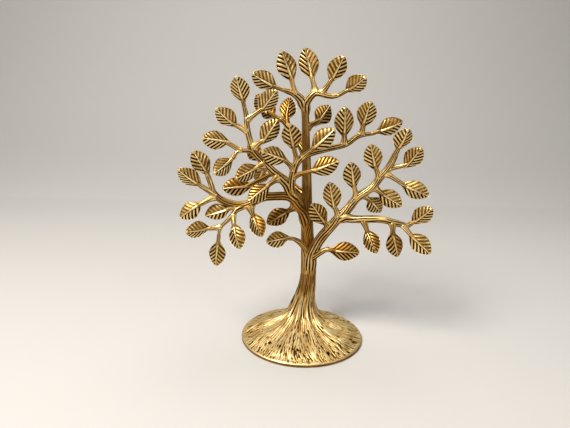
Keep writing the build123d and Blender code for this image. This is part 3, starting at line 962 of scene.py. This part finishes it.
def fill_ramp(ramp, stops):
    """Give a colour ramp node its stops, from the first place to the last."""
    elements = ramp.color_ramp.elements
    elements[0].position, elements[0].color = stops[0][0], (*stops[0][1], 1)
    elements[1].position, elements[1].color = stops[-1][0], (*stops[-1][1], 1)
    for position, colour in stops[1:-1]:
        elements.new(position).color = (*colour, 1)


def brass(name, stops, roughness, grain):
    """Antique brass: its colour runs through the stops as the patina thickens, and tone ages it."""
    material = bpy.data.materials.new(name)
    material.use_nodes = True
    nodes = material.node_tree.nodes
    links = material.node_tree.links
    shader = nodes["Principled BSDF"]
    shader.inputs["Metallic"].default_value = 1.0
    coords = nodes.new("ShaderNodeTexCoord")

    def attribute(label):
        node = nodes.new("ShaderNodeAttribute")
        node.attribute_name = label
        return node.outputs["Fac"]

    def cloud(scale, detail):
        tex = nodes.new("ShaderNodeTexNoise")
        tex.inputs["Scale"].default_value = scale
        tex.inputs["Detail"].default_value = detail
        links.new(coords.outputs["Object"], tex.inputs["Vector"])
        return tex.outputs["Fac"]

    def calc(kind, a, b):
        node = nodes.new("ShaderNodeMath")
        node.operation = kind
        for socket, value in zip(node.inputs, (a, b)):
            if isinstance(value, (int, float)):
                socket.default_value = value
            else:
                links.new(value, socket)
        return node.outputs[0]

    def clouded(value, clouds, amount):
        return calc("ADD", value, calc("MULTIPLY", calc("SUBTRACT", clouds, 0.5), amount))

    blotch = cloud(BLOTCH_SCALE, 4.0)
    speck = cloud(SPECK_SCALE, 3.0)
    mixed = clouded(attribute("patina"), blotch, CLOUDINESS)
    mixed = clouded(mixed, speck, CLOUDINESS)
    ramp = nodes.new("ShaderNodeValToRGB")
    fill_ramp(ramp, stops)
    links.new(mixed, ramp.inputs["Fac"])

    tint = nodes.new("ShaderNodeMix")
    tint.data_type = "RGBA"
    tint.blend_type = "MULTIPLY"
    tint.inputs["B"].default_value = (*AGED, 1)
    aging = clouded(calc("MULTIPLY", attribute("tone"), AGING), blotch, AGING_CLOUDINESS)
    links.new(aging, tint.inputs["Factor"])
    links.new(ramp.outputs["Color"], tint.inputs["A"])
    links.new(tint.outputs["Result"], shader.inputs["Base Color"])

    rough = calc("ADD", calc("MULTIPLY", mixed, PATINA_ROUGHNESS), roughness)
    links.new(rough, shader.inputs["Roughness"])
    bump = nodes.new("ShaderNodeBump")
    bump.inputs["Strength"].default_value = grain
    bump.inputs["Distance"].default_value = GRAIN_HEIGHT
    links.new(speck, bump.inputs["Height"])
    links.new(bump.outputs["Normal"], shader.inputs["Normal"])
    return material


def plain(name, colour, roughness):
    """A plain matt surface for the floor."""
    material = bpy.data.materials.new(name)
    material.use_nodes = True
    shader = material.node_tree.nodes["Principled BSDF"]
    shader.inputs["Base Color"].default_value = (*colour, 1)
    shader.inputs["Roughness"].default_value = roughness
    return material


# ------------------------------------------------------------
# Building

tree_brass = brass("antique_brass", TREE_STOPS, roughness=0.36, grain=0.22)
base_brass = brass("base_brass", BASE_STOPS, roughness=0.42, grain=0.35)

# The course and the radii at the root and the tip of the trunk and of each bough.
courses = {}
reaches = {}


def build_trunk():
    """The trunk, on the course that the boughs start from."""
    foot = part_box("trunk")[0][2] / MM
    line = []
    for drift, share in TRUNK_COURSE:
        line.append((STUMP_X + drift, STUMP_Y, foot + share * TRUNK_HEIGHT))
    tip_heading = unit(np.array(TRUNK_TIP_HEADING)).tolist()
    courses["trunk"] = cubic_course(line, TRUNK_FOOT_HEADING, tip_heading)
    reaches["trunk"] = (TRUNK_FOOT, TRUNK_TIP)
    carry(trunk_mesh(courses["trunk"], foot), "trunk")


def build_boughs():
    """Each bough, after the one that carries it."""
    for number, (name, (carrier, share, root, tip, offsets)) in enumerate(BOUGHS.items()):
        start, along = place(courses[carrier], share)
        courses[name] = cubic_course([start] + [start + np.array(o, float) for o in offsets])
        reaches[name] = (root, tip)
        wide, narrow = reaches[carrier]
        on_trunk = carrier == "trunk"
        carrier_radius = narrow + (wide - narrow) * (1 - share) ** (TRUNK_TAPER if on_trunk else 1)
        carrier_tone = JOINT_TONE_ON_TRUNK if on_trunk else JOINT_TONE_ON_BOUGH
        seed = 2.7 * number + 1
        tone = BOUGH_TONE_AND_SHADE.get(name, USUAL_TONE)
        piece = bough_mesh(
            name, courses[name], along, root, tip, carrier_radius, seed, tone, carrier_tone)
        carry(piece, name)


# From this share of the bough on, a leaf's stalk carries on from the bough's end, at this share of
# its radius and at least this radius.
END_LEAF_FROM = 0.90
END_RADIUS_SHARE = 0.86
LEAST_END_RADIUS = 1.10


def build_leaves():
    """Each leaf as a piece of its own, or as one piece with the others of a small twig."""
    count = 0
    for bough, rows in LEAVES.items():
        wide, narrow = reaches[bough]
        group = []
        for number, (share, *row) in enumerate(rows, start=1):
            count += 1
            node = f"{bough}_leaf_{number}"
            spot, along = place(courses[bough], share)
            here = narrow + (wide - narrow) * (1 - share)
            tone_and_shade = LEAF_TONE_SPREAD * (lattice(count, 5, 2) - PALER_SHARE)
            # Leaves in the shade of others get painted shade as extra tone.
            if bough in SHADED_BOUGHS or node in SHADED_LEAVES:
                tone_and_shade += SHADE_TONE
            web = 1.0 - smooth(END_LEAF_FROM, 1.0, share)
            swollen = BOUGH_SWELL.get(bough, USUAL_SWELL) * here
            end_radius = max(LEAST_END_RADIUS, END_RADIUS_SHARE * swollen)
            parts = leaf_parts(spot, along, here, end_radius, row, count, tone_and_shade, web)
            if bough in GROUPED:
                group += parts
            else:
                carry(mesh_object("veined_" + node, parts, tree_brass), node)
        if group:
            carry(mesh_object("veined_" + bough + "_leaves", group, tree_brass), bough + "_leaves")


carry(base_mesh(base_brass), "base")
build_trunk()
build_boughs()
build_leaves()

# ------------------------------------------------------------
# Floor, light and camera, in metres

FLOOR_COLOUR = (0.52, 0.50, 0.47)
FLOOR_ROUGHNESS = 0.7
FLOOR_REACH = 3.0

# The floor's profile, as depth to the back and height: flat, and sweeping up behind the tree.
SWEEP_UP = [(-3, 0, 0), (-1, 0, 0), (0.4, 0, 0), (0.7, 0.10, 0), (0.85, 0.4, 0), (0.9, 2.0, 0)]

# The light from all round, from below to overhead: share of the way up and colour.
SKY = [
    (0.0, (0.16, 0.15, 0.14)), (0.15, (0.24, 0.24, 0.24)), (0.5, (0.60, 0.62, 0.65)),
    (1.0, (1.0, 1.03, 1.1))]
SKY_STRENGTH = 0.29

# Lamp: place, width, power and colour. All of them aim at the middle of the tree.
LAMPS = {
    "key": ((-0.42, -0.45, 0.78), 0.34, 13.5, (1.0, 0.97, 0.92)),
    "fill": ((0.75, -0.6, 0.35), 0.25, 1.7, (0.93, 0.96, 1.0)),
    "top": ((0.1, 0.25, 1.0), 0.6, 4.0, (1.0, 0.99, 0.97)),
}
TREE_MIDDLE = (0.0, 0.0, 0.10)

CAMERA_PLACE = (-0.0124, -0.2875, 0.152)
PITCH = radians(13.7)
ROLL = radians(1.2)
SENSOR_WIDTH = 36.0
LENS = 30.31579


def backdrop(material):
    """A pale floor that sweeps up behind the tree."""
    profile = cubic_course(SWEEP_UP)
    corners = []
    for y, z, _ in profile.tolist():
        corners += [(x, y, max(z, 0)) for x in (-FLOOR_REACH, FLOOR_REACH)]
    faces = [(k, k + 1, k + 3, k + 2) for k in range(0, len(corners) - 2, 2)]
    mesh = bpy.data.meshes.new("stage_floor")
    mesh.from_pydata(corners, [], faces)
    mesh.polygons.foreach_set("use_smooth", [True] * len(mesh.polygons))
    mesh.materials.append(material)
    piece = bpy.data.objects.new("stage_floor", mesh)
    bpy.context.collection.objects.link(piece)


def studio_world(stops, strength):
    """Soft light from all round, from the colour below to the colour overhead."""
    world = bpy.data.worlds.new("studio")
    bpy.context.scene.world = world
    world.use_nodes = True
    nodes = world.node_tree.nodes
    links = world.node_tree.links
    coords = nodes.new("ShaderNodeTexCoord")
    split = nodes.new("ShaderNodeSeparateXYZ")
    links.new(coords.outputs["Generated"], split.inputs[0])
    ramp = nodes.new("ShaderNodeValToRGB")
    fill_ramp(ramp, stops)
    links.new(split.outputs["Z"], ramp.inputs["Fac"])
    links.new(ramp.outputs["Color"], nodes["Background"].inputs["Color"])
    nodes["Background"].inputs["Strength"].default_value = strength


def area_light(name, spot, size, power, colour):
    """A square soft light at a spot, aimed at the middle of the tree."""
    data = bpy.data.lights.new(name, "AREA")
    data.size = size
    data.energy = power
    data.color = colour
    lamp = bpy.data.objects.new(name, data)
    lamp.location = spot
    lamp.rotation_euler = (Vector(TREE_MIDDLE) - Vector(spot)).to_track_quat("-Z", "Y").to_euler()
    bpy.context.collection.objects.link(lamp)


def make_camera():
    """The camera, which looks along +Y, down by PITCH and turned about its view by ROLL."""
    forward = Vector((0, cos(PITCH), -sin(PITCH)))
    level = Vector((1, 0, 0))
    above = level.cross(forward)
    right = level * cos(ROLL) + above * sin(ROLL)
    up = above * cos(ROLL) - level * sin(ROLL)
    camera = bpy.data.cameras.new("camera")
    camera.sensor_width = SENSOR_WIDTH
    camera.lens = LENS
    camera.clip_start = 0.01
    eye = bpy.data.objects.new("camera", camera)
    bpy.context.collection.objects.link(eye)
    turn = Matrix((right, up, -forward)).transposed().to_4x4()
    eye.matrix_world = Matrix.Translation(Vector(CAMERA_PLACE)) @ turn
    bpy.context.scene.camera = eye


backdrop(plain("floor_matt", FLOOR_COLOUR, FLOOR_ROUGHNESS))
studio_world(SKY, SKY_STRENGTH)
for name, (spot, size, power, colour) in LAMPS.items():
    area_light(name, spot, size, power, colour)
bpy.context.scene.view_settings.view_transform = "Standard"
make_camera()
